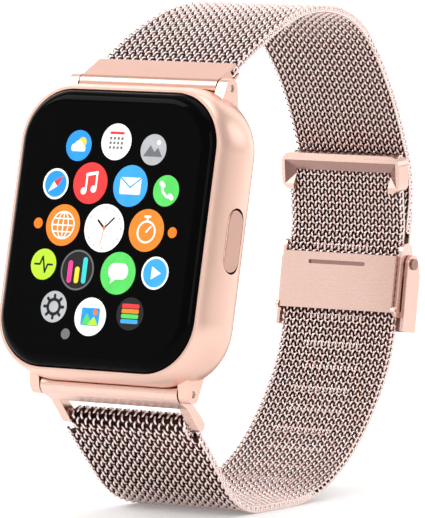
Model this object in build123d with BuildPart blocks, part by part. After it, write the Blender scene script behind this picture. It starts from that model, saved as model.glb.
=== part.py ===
from build123d import *
import os
from math import atan2, cos, degrees, hypot, radians, sin, sqrt, tan

os.makedirs("parts", exist_ok=True)

# A smartwatch on a closed woven-steel strap with a sliding fold-over clasp, in millimetres.
# It is drawn upright: X to the button side, Y from the screen backwards, Z up the strap.
# At the end the whole watch leans back by `lean` and stands on the flat stretch of its strap.
lean = 12.4

# ---- case ----
case_width = 33.2
case_height = 38.6
case_corner = 8.2
case_front = 0.2
side_wall = 2.2
end_wall = 2.5
glass_rim = 1.3                 # metal left beside the glass, and above and below it
glass_end_rim = 1.2
glass_width = case_width - 2 * glass_rim
glass_height = case_height - 2 * glass_end_rim
glass_corner = case_corner - 1.1
glass_sink = 1.05               # how deep the glass sits in the case
glass_thickness = 2.0
glass_proud = glass_thickness - glass_sink
glass_curve = 1.75
glass_gap = 0.06
ledge_width = 1.5
ledge_thickness = 1.1
gasket_thickness = 0.12
skin = 0.1                      # air left between stacked inner pieces
tray_floor = 0.5
board_thickness = 0.6
chip_height = 0.8
chip_air = 0.15
battery_thickness = 2.6
sensor_board_thickness = 0.45
cover_air = 0.33
cover_thickness = 1.1

# ---- depths behind the glass, from the front ----
glass_back = glass_thickness - glass_proud
ledge_front = glass_back + gasket_thickness
cavity_front = ledge_front + ledge_thickness
tray_front = cavity_front + skin
board_front = tray_front + tray_floor + skin
board_back = board_front + board_thickness
battery_front = board_back + chip_height + chip_air
sensor_board_front = battery_front + battery_thickness + skin
cover_seat = sensor_board_front + sensor_board_thickness + cover_air
case_back = cover_seat + cover_thickness
case_profile = [(case_front, 0.85), (1.0, 0.45), (3.0, 0.06), (5.0, 0.0), (case_back - 1.9, 0.4), (case_back, 1.6)]

# ---- lugs and spring bars ----
lug_gap = 22.2
lug_thickness = 1.5
lug_radius = 1.25
bar_y = 5.8
bar_z = case_height / 2 + 0.5
bar_radius = 0.62
bar_pin_radius = 0.42
pin_clearance = 0.04
bore_clearance = 0.05
knuckle_radius = 1.3
knuckle_clearance = 0.25

# ---- strap ----
strap_play = 0.2                # air between the strap and each lug
strap_width = lug_gap - 2 * strap_play
strap_narrow = strap_width - 3.6
mesh_thickness = 1.1
taper_start = 14.0
taper_end = 46.0
link_heading = 45.0
link_length = 4.3
link_thickness = 1.7
link_grip = 1.5
loop_top = (32.0, 34.6)
loop_shoulder = (48.9, 24.4, -52.0)
frame_heading = -35.0
frame_length = 6.0
frame_thickness = 1.2
frame_arm = 1.35
frame_top_bar = 2.3
frame_bar_radius = 0.45
frame_tip_radius = 0.8
foot_centre = (31.4, -31.2)
foot_length = 8.0
heel = (49.7, -20.0, 58.0)

# ---- clasp, measured from a point on the middle of the lower strap ----
clasp_centre = (54.35, 0.0)
clasp_heading = 93.0
clasp_low = -4.5
clasp_high = 8.0
tail_end = (51.25, 18.0, 106.0)
slip = 0.1                      # running gap between the strap and the clasp
wall_thickness = 0.5
sheet = 0.45
wall_gap = 0.1
slider_low = -3.05
slider_high = 2.9
plate_low = -2.5
plate_high = 5.15
plate_rise = 0.3
ear_radius = 1.3
ear_top = 7.05
pin_radius = 0.45
pin_level = 4.3
arm_gap = 0.15
arm_radius = 1.25
cover_low = -4.8
cover_high = 2.8
hook_low = 1.2
hook_lap = 3.0
clip_sheet = 0.4
clip_arm = 4.6
clip_lip = 1.9
clip_rise = 0.85                # height of the tray's rim over the strap's face
clip_slope = 58.0
clip_tab = 0.8


# ------------------------------------------------------------------ geometry helpers
def depth(y):
    """The plane parallel to the screen at a depth y: local x is X and local y is Z."""
    return Plane.XZ.offset(-y)


def side_plane(point, heading):
    """The plane seen from the button side, with its local x along a heading in degrees."""
    along = (0, cos(radians(heading)), sin(radians(heading)))
    return Plane(origin=(0, point[0], point[1]), x_dir=along, z_dir=(1, 0, 0))


def step(point, heading, forward, left=0.0):
    """The point reached from a (y, z) point by going forward and to the left of a heading."""
    a = radians(heading)
    return (
        point[0] + forward * cos(a) - left * sin(a),
        point[1] + forward * sin(a) + left * cos(a),
    )


def wrap(angle):
    return (angle + 180) % 360 - 180


def biarc(start, heading, end, end_heading):
    """Two tangent arcs between two headed points, each as (length, turn in degrees)."""
    t0 = (cos(radians(heading)), sin(radians(heading)))
    t1 = (cos(radians(end_heading)), sin(radians(end_heading)))
    v = (end[0] - start[0], end[1] - start[1])
    t = (t0[0] + t1[0], t0[1] + t1[1])
    vt = v[0] * t[0] + v[1] * t[1]
    vv = v[0] ** 2 + v[1] ** 2
    k = 2 * (1 - t0[0] * t1[0] - t0[1] * t1[1])
    if k < 1e-6:
        d = vv / (2 * vt)
    else:
        d = (sqrt(vt**2 + k * vv) - vt) / k
    middle = tuple((start[i] + end[i] + d * (t0[i] - t1[i])) / 2 for i in (0, 1))
    runs = []
    for a, b, tangent, sign in ((start, middle, heading, 1), (middle, end, end_heading, -1)):
        chord = hypot(b[0] - a[0], b[1] - a[1])
        half = sign * wrap(degrees(atan2(b[1] - a[1], b[0] - a[0])) - tangent)
        bend = radians(abs(half))
        runs.append((chord * (bend / sin(bend) if bend > 1e-6 else 1), 2 * half))
    return runs


def through(knots):
    """The runs of the smooth path through headed points (y, z, heading)."""
    runs = []
    for a, b in zip(knots, knots[1:]):
        runs += biarc(a[:2], a[2], b[:2], b[2])
    return runs


def shifted(start, heading, runs, left):
    """The edges of a path, shifted to the left of its way."""
    edges = []
    point = start
    for length, turn in runs:
        if abs(turn) < 0.01:
            after = step(point, heading, length)
            edges.append(Line(step(point, heading, 0, left), step(after, heading, 0, left)))
        else:
            radius = length / radians(turn)
            centre = step(point, heading, 0, radius)
            reach = abs(radius - left)
            begin = heading - 90 if turn > 0 else heading + 90
            edges.append(CenterArc(centre, reach, begin, turn))
            after = step(centre, heading + turn, 0, -radius)
        point = after
        heading += turn
    return edges


def band_face(start, heading, runs, left, right):
    """The side view of a strap of even thickness along a path, as a closed face."""
    inner = shifted(start, heading, runs, left)
    outer = shifted(start, heading, runs, -right)
    caps = [Line(inner[0] @ 0, outer[0] @ 0), Line(inner[-1] @ 1, outer[-1] @ 1)]
    return inner + outer + caps


def bar_place(end):
    """Where a spring bar lies: end is 1 at the top of the case and -1 at the bottom."""
    return (bar_y, end * bar_z)


pieces = {}


def keep(name, piece):
    """Label a finished piece and note it for the stand at the end."""
    piece.part.label = name
    pieces[name] = piece


# ------------------------------------------------------------------ case
cavity_width = case_width - 2 * side_wall
cavity_height = case_height - 2 * end_wall
cavity_corner = case_corner - side_wall
button_length = 8.2
button_width = 3.4
button_gap = 0.15
button_y = 4.85
button_travel = 0.4
button_cap = 0.9
button_sink = 0.05
stem_radius = 0.7
stem_hole_radius = 0.95
button_floor = case_width / 2 - button_sink - button_cap - button_travel - 0.06
screw_radius = 0.5
screw_inset = 3.0
screw_x = cavity_width / 2 - screw_inset
screw_z = cavity_height / 2 - screw_inset
boss_radius = 2.0
boss_length = 3.5
lug_root = 3.5                  # how far inside the end wall a lug starts
lug_root_depth = 4.6
seal_width = 0.35
clip_level = cavity_width / 2 - 0.25
seal_level = cavity_width / 2 + 0.3
groove_depth = 0.2
clip_rim = 0.75

with BuildPart() as case_body:
    for y, inset in case_profile:
        with BuildSketch(depth(y)):
            RectangleRounded(case_width - 2 * inset, case_height - 2 * inset, case_corner - inset)
    loft()
    lug_places = [
        (side * (lug_gap + lug_thickness) / 2, end) for side in (1, -1) for end in (1, -1)
    ]
    for x, end in lug_places:
        with BuildSketch(Plane.YZ.offset(x)):
            with Locations(bar_place(end)):
                Circle(lug_radius)
            with Locations((bar_y - 0.1, end * (case_height / 2 - lug_root))):
                Rectangle(lug_root_depth, 1)
            make_hull()
        extrude(amount=lug_thickness / 2, both=True)
    # scoops between the lugs for the strap's knuckles
    for end in (1, -1):
        with BuildSketch(Plane.YZ):
            with Locations(bar_place(end)):
                Circle(knuckle_radius + knuckle_clearance)
        extrude(amount=lug_gap / 2, both=True, mode=Mode.SUBTRACT)
    # through holes for the spring bar pins
    with BuildSketch(Plane.YZ):
        for end in (1, -1):
            with Locations(bar_place(end)):
                Circle(bar_pin_radius + pin_clearance)
    extrude(amount=case_width, both=True, mode=Mode.SUBTRACT)
    # glass seat, display window, main cavity and back cover seat
    with BuildSketch(depth(case_front - 1)):
        RectangleRounded(
            glass_width + 2 * glass_gap, glass_height + 2 * glass_gap, glass_corner + glass_gap
        )
    extrude(amount=-(ledge_front - case_front + 1), mode=Mode.SUBTRACT)
    with BuildSketch(depth(ledge_front)):
        RectangleRounded(
            glass_width - 2 * ledge_width, glass_height - 2 * ledge_width, glass_corner - ledge_width
        )
    extrude(amount=-ledge_thickness, mode=Mode.SUBTRACT)
    with BuildSketch(depth(cavity_front)):
        RectangleRounded(cavity_width, cavity_height, cavity_corner)
    extrude(amount=-(case_back + 1 - cavity_front), mode=Mode.SUBTRACT)
    # bosses for the back screws
    with BuildSketch(depth(cavity_front + 0.4)):
        with GridLocations(2 * screw_x, 2 * screw_z, 2, 2):
            Circle(boss_radius)
    extrude(amount=-(cover_seat - cavity_front - 0.4))
    with BuildSketch(depth(cover_seat)):
        with GridLocations(2 * screw_x, 2 * screw_z, 2, 2):
            Circle(screw_radius)
    extrude(amount=boss_length, mode=Mode.SUBTRACT)
    # button pocket and stem hole
    with BuildSketch(Plane.YZ.offset(button_floor)):
        with Locations((button_y, 0)):
            SlotOverall(button_length + 2 * button_gap, button_width + 2 * button_gap, rotation=90)
    extrude(amount=4, mode=Mode.SUBTRACT)
    with BuildSketch(Plane.YZ.offset(cavity_width / 2 - 1)):
        with Locations((button_y, 0)):
            Circle(stem_hole_radius)
    extrude(amount=4, mode=Mode.SUBTRACT)
keep("case_body", case_body)

with BuildPart() as side_button:
    with BuildSketch(Plane.YZ.offset(case_width / 2 - button_sink - button_cap)):
        with Locations((button_y, 0)):
            SlotOverall(button_length, button_width, rotation=90)
    extrude(amount=button_cap)
    fillet(side_button.faces().sort_by(Axis.X)[-1].edges(), radius=0.3)
    with BuildSketch(Plane.YZ.offset(case_width / 2 - button_sink - button_cap)):
        with Locations((button_y, 0)):
            Circle(stem_radius)
    extrude(amount=-(button_cap + 1.1))
    # groove for the sealing ring and neck for the clip
    with BuildSketch(Plane.YZ.offset(seal_level)):
        with Locations((button_y, 0)):
            Circle(stem_radius + 0.1)
            Circle(stem_radius - groove_depth, mode=Mode.SUBTRACT)
    extrude(amount=seal_width, mode=Mode.SUBTRACT)
    with BuildSketch(Plane.YZ.offset(clip_level)):
        with Locations((button_y, 0)):
            Circle(stem_radius + 0.1)
            Circle(stem_radius - groove_depth, mode=Mode.SUBTRACT)
    extrude(amount=0.22, mode=Mode.SUBTRACT)
keep("side_button", side_button)

with BuildPart() as button_seal:
    with BuildSketch(Plane.YZ.offset(seal_level + 0.02)):
        with Locations((button_y, 0)):
            Circle(stem_hole_radius - 0.02)
            Circle(stem_radius - groove_depth + 0.02, mode=Mode.SUBTRACT)
    extrude(amount=seal_width - 0.04)
keep("button_seal", button_seal)

with BuildPart() as button_clip:
    with BuildSketch(Plane.YZ.offset(clip_level + 0.02)):
        with Locations((button_y, 0)):
            Circle(stem_radius + clip_rim)
            Circle(stem_radius - groove_depth + 0.02, mode=Mode.SUBTRACT)
        with Locations((button_y + 1, 0)):
            Rectangle(2, 0.8, mode=Mode.SUBTRACT)
    extrude(amount=0.18)
keep("button_clip", button_clip)

switch_face = case_width / 2 - button_sink - 2 * button_cap - 1.1 - button_travel - 0.05
plunger_radius = 0.6
plunger_length = 0.3
switch_depth = 2.4
switch_height = 3.0
with BuildPart() as tact_switch:
    with BuildSketch(Plane.YZ.offset(switch_face)):
        with Locations((button_y, 0)):
            Circle(plunger_radius)
    extrude(amount=-plunger_length)
    with BuildSketch(Plane.YZ.offset(switch_face - plunger_length)):
        with Locations((button_y, 0)):
            RectangleRounded(switch_depth, switch_height, 0.3)
    extrude(amount=-0.5)
keep("tact_switch", tact_switch)

# ------------------------------------------------------------------ glass and display
display_rim = 2.2               # black border of the glass around the display
display_end_rim = 2.4
display_width = glass_width - 2 * display_rim
display_height = glass_height - 2 * display_end_rim
display_corner = glass_corner - 2.5
pocket_depth = 0.75
display_front = glass_back - pocket_depth + 0.03
display_thickness = 1.35

with BuildPart() as cover_glass:
    with BuildSketch(depth(-glass_proud)):
        RectangleRounded(glass_width, glass_height, glass_corner)
    extrude(amount=-glass_thickness)
    fillet(cover_glass.faces().sort_by(Axis.Y)[0].edges(), radius=glass_curve)
    with BuildSketch(depth(glass_back)):
        RectangleRounded(display_width + 0.3, display_height + 0.3, display_corner + 0.15)
    extrude(amount=pocket_depth, mode=Mode.SUBTRACT)
keep("cover_glass", cover_glass)

with BuildPart() as glass_gasket:
    with BuildSketch(depth(glass_back + 0.01)):
        RectangleRounded(glass_width - 0.4, glass_height - 0.4, glass_corner - 0.2)
        RectangleRounded(
            glass_width - 2 * ledge_width + 0.2,
            glass_height - 2 * ledge_width + 0.2,
            glass_corner - ledge_width + 0.1,
            mode=Mode.SUBTRACT,
        )
    extrude(amount=-(gasket_thickness - 0.02))
keep("glass_gasket", glass_gasket)

with BuildPart() as display_panel:
    with BuildSketch(depth(display_front)):
        RectangleRounded(display_width, display_height, display_corner)
    extrude(amount=-display_thickness)
keep("display_panel", display_panel)

# ------------------------------------------------------------------ inside
inner_width = cavity_width - 0.4
inner_height = cavity_height - 0.4
battery_width = 17.0
battery_height = 22.0
boss_clear = boss_radius + 0.2
battery_x = -2.5
motor_place = (9.6, -8.2)
motor_radius = 3.4
motor_thickness = 2.2
switch_notch_height = 6.0
switch_notch_width = 4.4
flex_width = 9.0
flex_thickness = 0.16

with BuildPart() as display_tray:
    with BuildSketch(depth(tray_front)):
        RectangleRounded(inner_width, inner_height, cavity_corner - 0.2)
        with GridLocations(2 * screw_x, 2 * screw_z, 2, 2):
            Circle(boss_clear, mode=Mode.SUBTRACT)
        with Locations((inner_width / 2, 0)):
            Rectangle(switch_notch_width, switch_notch_height, mode=Mode.SUBTRACT)
    extrude(amount=-tray_floor)
keep("display_tray", display_tray)

with BuildPart() as main_board:
    with BuildSketch(depth(board_front)):
        RectangleRounded(inner_width - 1.2, inner_height - 1.2, cavity_corner - 0.8)
        with GridLocations(2 * screw_x, 2 * screw_z, 2, 2):
            Circle(boss_clear, mode=Mode.SUBTRACT)
        with Locations((inner_width / 2, 0)):
            Rectangle(switch_notch_width + 0.2, switch_notch_height, mode=Mode.SUBTRACT)
    extrude(amount=-board_thickness)
keep("main_board", main_board)

chips = [(-5.5, 5.0, 5.0, 5.0), (1.2, 6.0, 4.2, 4.2), (6.5, 1.5, 3.0, 4.0), (-2.0, -3.0, 3.4, 2.6),
         (4.0, -6.5, 4.6, 3.0), (-7.5, -7.0, 2.6, 3.6)]
with BuildPart() as board_chips:
    for x, z, w, h in chips:
        with BuildSketch(depth(board_back + 0.02)):
            with Locations((x, z)):
                Rectangle(w, h)
        extrude(amount=-(chip_height - 0.1))
keep("board_chips", board_chips)

with BuildPart() as battery:
    with BuildSketch(depth(battery_front)):
        with Locations((battery_x, 0)):
            RectangleRounded(battery_width, battery_height, 1.4)
    extrude(amount=-battery_thickness)
    fillet(battery.edges().filter_by(Axis.Y, reverse=True), radius=0.35)
keep("battery", battery)

with BuildPart() as vibration_motor:
    with BuildSketch(depth(battery_front)):
        with Locations(motor_place):
            Circle(motor_radius)
    extrude(amount=-motor_thickness)
keep("vibration_motor", vibration_motor)

with BuildPart() as display_flex:
    with BuildSketch(depth(tray_front + tray_floor + 0.02)):
        with Locations((0, inner_height / 2 - 0.3)):
            Rectangle(flex_width, flex_thickness)
    extrude(amount=-(board_thickness + skin + 1.0))
keep("display_flex", display_flex)

frame_ring_back = cover_seat - 0.25
with BuildPart() as inner_frame:
    with BuildSketch(depth(board_back + skin)):
        RectangleRounded(inner_width - 0.4, inner_height - 2.4, cavity_corner - 0.4)
        with Locations((battery_x, 0)):
            RectangleRounded(battery_width + 0.5, battery_height + 0.5, 1.6, mode=Mode.SUBTRACT)
        with Locations(motor_place):
            Circle(motor_radius + 0.2, mode=Mode.SUBTRACT)
        for x, z, w, h in chips:
            with Locations((x, z)):
                Rectangle(w + 0.4, h + 0.4, mode=Mode.SUBTRACT)
        with GridLocations(2 * screw_x, 2 * screw_z, 2, 2):
            Circle(boss_clear, mode=Mode.SUBTRACT)
        with Locations((inner_width / 2 - 1.2, 0)):
            Rectangle(switch_notch_width, switch_notch_height, mode=Mode.SUBTRACT)
    extrude(amount=-(frame_ring_back - board_back - skin))
keep("inner_frame", inner_frame)

sensor_radius = 6.4
with BuildPart() as sensor_board:
    with BuildSketch(depth(sensor_board_front)):
        Circle(sensor_radius - 0.4)
    extrude(amount=-sensor_board_thickness)
keep("sensor_board", sensor_board)

# ------------------------------------------------------------------ back
cover_gap = 0.1
window_rise = 1.15
contact_spacing = 2.9
contact_z = -11.2
contact_radius = 0.7
island_rim = 2.4
island_rise = 0.55
screw_length = 1.9
head_radius = screw_radius + 0.4
head_sink = 0.5

with BuildPart() as back_cover:
    with BuildSketch(depth(cover_seat + 0.02)):
        RectangleRounded(
            cavity_width - 2 * cover_gap, cavity_height - 2 * cover_gap, cavity_corner - cover_gap
        )
    extrude(amount=-(cover_thickness + 0.08))
    # low island that carries the sensor window
    with BuildSketch(depth(case_back)):
        Circle(sensor_radius + island_rim)
    extrude(amount=-island_rise, taper=30)
    with BuildSketch(depth(cover_seat)):
        Circle(sensor_radius + 0.06)
    extrude(amount=-3, mode=Mode.SUBTRACT)
    with BuildSketch(depth(cover_seat)):
        with GridLocations(2 * screw_x, 2 * screw_z, 2, 2):
            Circle(screw_radius + 0.1)
        with Locations((0, contact_z)):
            with GridLocations(contact_spacing, 1, 4, 1):
                Circle(contact_radius + 0.05)
    extrude(amount=-3, mode=Mode.SUBTRACT)
    with BuildSketch(depth(case_back - head_sink)):
        with GridLocations(2 * screw_x, 2 * screw_z, 2, 2):
            Circle(head_radius + 0.1)
    extrude(amount=-3, mode=Mode.SUBTRACT)
keep("back_cover", back_cover)

with BuildPart() as back_screws:
    with BuildSketch(depth(cover_seat - screw_length)):
        with GridLocations(2 * screw_x, 2 * screw_z, 2, 2):
            Circle(screw_radius - 0.04)
    extrude(amount=-(screw_length + cover_thickness - head_sink))
    with BuildSketch(depth(case_back - head_sink)):
        with GridLocations(2 * screw_x, 2 * screw_z, 2, 2):
            Circle(head_radius)
    extrude(amount=-0.43)
    with BuildSketch(depth(case_back - 0.3)):
        with GridLocations(2 * screw_x, 2 * screw_z, 2, 2):
            Rectangle(1.2, 0.24)
            Rectangle(0.24, 1.2)
    extrude(amount=-1, mode=Mode.SUBTRACT)
keep("back_screws", back_screws)

with BuildPart() as sensor_window:
    with BuildSketch(depth(cover_seat + 0.05)):
        Circle(sensor_radius)
    extrude(amount=-(cover_thickness + window_rise))
    fillet(sensor_window.faces().sort_by(Axis.Y)[-1].edges(), radius=0.6)
keep("sensor_window", sensor_window)

with BuildPart() as charging_contacts:
    with BuildSketch(depth(cover_seat - 0.1)):
        with Locations((0, contact_z)):
            with GridLocations(contact_spacing, 1, 4, 1):
                Circle(contact_radius)
    extrude(amount=-(cover_thickness + 0.3))
    fillet(charging_contacts.faces().group_by(Axis.Y)[-1].edges(), radius=0.15)
keep("charging_contacts", charging_contacts)

# ------------------------------------------------------------------ spring bars
def spring_bar(end, name):
    """A thin tube with a sliding pin at each end that springs into the lug holes."""
    tube_length = lug_gap - 0.8
    pin_hold = 3.4              # how deep a pin reaches into the tube
    with BuildPart() as tube:
        with BuildSketch(Plane.YZ):
            with Locations(bar_place(end)):
                Circle(bar_radius)
                Circle(bar_pin_radius + 0.02, mode=Mode.SUBTRACT)
        extrude(amount=tube_length / 2, both=True)
    keep(name + "_bar_tube", tube)
    with BuildPart() as pins:
        for side in (1, -1):
            with BuildSketch(Plane.YZ.offset(side * (lug_gap / 2 - pin_hold))):
                with Locations(bar_place(end)):
                    Circle(bar_pin_radius)
            extrude(amount=side * (pin_hold + lug_thickness - 0.25))
    keep(name + "_bar_pins", pins)


spring_bar(1, "upper")
spring_bar(-1, "lower")

# ------------------------------------------------------------------ upper strap
upper_start = step(bar_place(1), link_heading, link_length - link_grip)
hook_sheet = 0.4
lip_height = 0.65
strap_offset = mesh_thickness + 0.2
upper_station = step(clasp_centre, clasp_heading, clasp_high + 4.0, -strap_offset)
upper_end_length = 3.5
upper_knots = [
    (*step(bar_place(1), link_heading, link_length), link_heading),
    (*loop_top, 0.0),
    loop_shoulder,
    (*upper_station, clasp_heading - 180),
]
upper_runs = [(link_grip, 0)] + through(upper_knots) + [(upper_end_length, 0)]

with BuildPart() as upper_end_link:
    with BuildSketch(side_plane(bar_place(1), link_heading)):
        Circle(knuckle_radius)
        with Locations((link_length / 2, 0)):
            Rectangle(link_length, link_thickness)
        make_hull()
        Circle(bar_radius + bore_clearance, mode=Mode.SUBTRACT)
        with Locations((link_length, 0)):
            Rectangle(2 * link_grip, mesh_thickness + 0.04, mode=Mode.SUBTRACT)
    extrude(amount=strap_width / 2, both=True)
keep("upper_end_link", upper_end_link)


far = 140.0                     # longer than the whole strap, for through cuts


def taper_plan():
    """The strap seen from above: full width by the case, narrower towards the clasp."""
    half, narrow = strap_width / 2, strap_narrow / 2
    right = [(half, -20), (half, taper_start), (narrow, taper_end), (narrow, 90)]
    return right + [(-x, y) for x, y in reversed(right)]


with BuildPart() as upper_mesh:
    with BuildSketch(Plane.YZ):
        with BuildLine():
            add(band_face(upper_start, link_heading, upper_runs, mesh_thickness / 2, mesh_thickness / 2))
        make_face()
    extrude(amount=strap_width / 2, both=True)
    with BuildSketch(Plane.XY.offset(-far / 2)):
        with BuildLine():
            Polyline(*taper_plan(), close=True)
        make_face()
    extrude(amount=far, mode=Mode.INTERSECT)
keep("upper_mesh", upper_mesh)

# the hook plate is drawn in the clasp's own plane: u outwards, v up the strap
clasp_plane = side_plane(clasp_centre, clasp_heading - 90)
hook_inner = strap_offset + mesh_thickness / 2 + 0.02
pin_u = hook_inner - 0.15 - pin_radius
hook_tip = pin_u + 0.02
hook_width = strap_narrow - 0.6
with BuildPart() as hook_plate:
    with BuildSketch(clasp_plane):
        with BuildLine():
            Polyline(
                (hook_inner, clasp_high + 0.5 + hook_lap),
                (hook_inner + hook_sheet, clasp_high + 0.5 + hook_lap),
                (hook_inner + hook_sheet, hook_low),
                (hook_tip, hook_low),
                (hook_tip, hook_low + lip_height),
                (hook_tip + 0.2, hook_low + lip_height),
                (hook_inner, hook_low + hook_sheet),
                close=True,
            )
        make_face()
    extrude(amount=hook_width / 2, both=True)
keep("hook_plate", hook_plate)

# ------------------------------------------------------------------ lower strap
lower_bar = step(bar_place(-1), frame_heading, frame_length)
fold_radius = frame_bar_radius + bore_clearance + mesh_thickness
ply_middle = fold_radius - mesh_thickness / 2
lower_start = step(lower_bar, frame_heading, 0, -ply_middle)
foot_front = step(foot_centre, lean, -foot_length / 2)
foot_back = step(foot_centre, lean, foot_length / 2)
clasp_bottom = step(clasp_centre, clasp_heading, clasp_low)
clasp_top = step(clasp_centre, clasp_heading, clasp_high)
lower_knots = [(*lower_start, frame_heading), (*foot_front, lean)]
back_knots = [(*foot_back, lean), heel, (*clasp_bottom, clasp_heading)]
tail_straight = clip_arm + 0.3
tail_bend = step(tail_end[:2], tail_end[2], -tail_straight)
tail_knots = [(*clasp_top, clasp_heading), (*tail_bend, tail_end[2])]
lower_runs = (
    through(lower_knots)
    + [(foot_length, 0)]
    + through(back_knots)
    + [(clasp_high - clasp_low, 0)]
    + through(tail_knots)
    + [(tail_straight, 0)]
)
frame_width = strap_width
fold_width = frame_width - 2 * frame_arm - 0.3

with BuildPart() as lower_frame:
    frame_plane = side_plane(bar_place(-1), frame_heading)
    with BuildSketch(frame_plane):
        Circle(knuckle_radius)
        with Locations((frame_top_bar / 2, 0)):
            Rectangle(frame_top_bar, frame_thickness)
        make_hull()
        Circle(bar_radius + bore_clearance, mode=Mode.SUBTRACT)
    extrude(amount=frame_width / 2, both=True)
    for side in (1, -1):
        with BuildSketch(frame_plane.offset(side * (frame_width - frame_arm) / 2)):
            with Locations((frame_top_bar - 0.4, 0)):
                Rectangle(0.8, frame_thickness)
            with Locations((frame_length, 0)):
                Circle(frame_tip_radius)
            make_hull()
        extrude(amount=frame_arm / 2, both=True)
    with BuildSketch(frame_plane):
        with Locations((frame_length, 0)):
            Circle(frame_bar_radius)
    extrude(amount=frame_width / 2 - 0.3, both=True)
keep("lower_frame", lower_frame)

with BuildPart() as lower_mesh:
    with BuildSketch(Plane.YZ):
        with BuildLine():
            add(band_face(lower_start, frame_heading, lower_runs, mesh_thickness / 2, mesh_thickness / 2))
        make_face()
    extrude(amount=strap_width / 2, both=True)
    # notches beside the fold leave room for the frame's arms
    for side in (1, -1):
        with BuildSketch(side_plane(lower_bar, frame_heading).offset(side * (fold_width / 2 + 5))):
            Circle(frame_tip_radius + 0.35)
            with Locations((-3, 0)):
                Rectangle(6, 5)
            with Locations((0.6, -1)):
                Rectangle(1.2, 3)
        extrude(amount=5, both=True, mode=Mode.SUBTRACT)
    with BuildSketch(side_plane(lower_bar, frame_heading)):
        Circle(fold_radius)
        with Locations((5.2, -ply_middle + 0.5)):
            Circle(mesh_thickness / 2)
        make_hull()
    extrude(amount=fold_width / 2, both=True)
    with BuildSketch(side_plane(lower_bar, frame_heading)):
        Circle(frame_bar_radius + bore_clearance)
    extrude(amount=strap_width, both=True, mode=Mode.SUBTRACT)
    with BuildSketch(Plane.XY.offset(-far / 2)):
        with BuildLine():
            Polyline(*taper_plan(), close=True)
        make_face()
    extrude(amount=far, mode=Mode.INTERSECT)
keep("lower_mesh", lower_mesh)

# ------------------------------------------------------------------ tail clip
tail_plane = side_plane(tail_end[:2], tail_end[2] - 90)
clip_inside = strap_narrow / 2 + 0.08
clip_out = clip_inside + clip_sheet
clip_seat = mesh_thickness / 2 + 0.04
clip_front = clip_seat + clip_rise
clip_back = clip_seat + 0.25
clip_face = Plane(origin=tail_plane.origin, x_dir=(1, 0, 0), z_dir=-tail_plane.x_dir)
with BuildPart() as tail_clip:
    with BuildSketch(clip_face.offset(-clip_back)):
        with Locations((0, (0.06 + clip_sheet - clip_arm) / 2)):
            RectangleRounded(2 * clip_out, clip_arm + 0.06 + clip_sheet, 1.4)
    extrude(amount=clip_front + clip_back)
    # the open tray between the folded lips
    with BuildSketch(clip_face.offset(-clip_back - 1)):
        with Locations((0, -clip_arm / 2 - clip_lip)):
            Rectangle(2 * (clip_out - clip_lip), clip_arm)
    extrude(amount=clip_front + clip_back + 2, mode=Mode.SUBTRACT)
    # lips that slope from a thin rim down to the strap's face, and a flat tab at each arm's end
    slope_reach = clip_rise * tan(radians(clip_slope))
    tray_length = clip_arm - clip_tab - slope_reach - clip_lip
    with BuildSketch(clip_face.offset(clip_seat)):
        with Locations((0, -clip_lip - tray_length / 2)):
            Rectangle(2 * (clip_out - clip_lip), tray_length)
    extrude(amount=clip_rise + 0.02, taper=-clip_slope, mode=Mode.SUBTRACT)
    # the strap's end
    with BuildSketch(clip_face.offset(-mesh_thickness / 2 - 0.04)):
        with Locations((0, -clip_arm / 2 + 0.03)):
            Rectangle(2 * clip_inside, clip_arm + 0.06)
    extrude(amount=mesh_thickness + 0.08, mode=Mode.SUBTRACT)
keep("tail_clip", tail_clip)

# ------------------------------------------------------------------ clasp
wall_in = strap_narrow / 2 + wall_gap
wall_out = wall_in + wall_thickness
wall_u_low = -(mesh_thickness / 2 + plate_rise - 0.1)
floor_u = mesh_thickness / 2 + slip
floor_out = floor_u + sheet - 0.05
ear_u = wall_u_low + ear_radius
plate_in = mesh_thickness / 2 + plate_rise
plate_pivot = (-(plate_in + sheet / 2), plate_low + 0.3)
wall_middle = (wall_in + wall_out) / 2
pivot_radius = 0.18

with BuildPart() as slider_body:
    for side in (1, -1):
        with BuildSketch(clasp_plane.offset(side * wall_middle)):
            with Locations(((wall_u_low + floor_out) / 2, (slider_low + ear_top - ear_radius) / 2)):
                Rectangle(floor_out - wall_u_low, ear_top - ear_radius - slider_low)
            with Locations((ear_u, ear_top - ear_radius)):
                Circle(ear_radius)
            with Locations((pin_u, pin_level)):
                Circle(pin_radius + 0.35)
            with Locations((pin_u, pin_level)):
                Circle(pin_radius + 0.02, mode=Mode.SUBTRACT)
            # an ear round the lock plate's pivot
            with Locations(plate_pivot):
                Circle(pivot_radius + 0.3)
            with Locations((plate_pivot[0] / 2 + wall_u_low / 2, plate_pivot[1])):
                Rectangle(plate_in - 0.1, 2 * (pivot_radius + 0.3))
            with Locations(plate_pivot):
                Circle(pivot_radius + 0.02, mode=Mode.SUBTRACT)
        extrude(amount=wall_thickness / 2, both=True)
    with BuildSketch(clasp_plane):
        with Locations(((floor_u + floor_out) / 2, (slider_low + slider_high) / 2)):
            Rectangle(floor_out - floor_u, slider_high - slider_low)
    extrude(amount=wall_middle, both=True)
keep("slider_body", slider_body)

arm_in = wall_out + arm_gap
arm_out = arm_in + wall_thickness
rivet_head = 0.22
with BuildPart() as hinge_pin:
    with BuildSketch(clasp_plane):
        with Locations((pin_u, pin_level)):
            Circle(pin_radius)
    extrude(amount=arm_out, both=True)
    for side in (1, -1):
        with BuildSketch(clasp_plane.offset(side * (arm_out + 0.03))):
            with Locations((pin_u, pin_level)):
                Circle(pin_radius + 0.3)
        extrude(amount=side * rivet_head)
        with BuildSketch(clasp_plane.offset(side * arm_out)):
            with Locations((pin_u, pin_level)):
                Circle(pin_radius)
        extrude(amount=side * 0.1)
keep("hinge_pin", hinge_pin)

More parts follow.
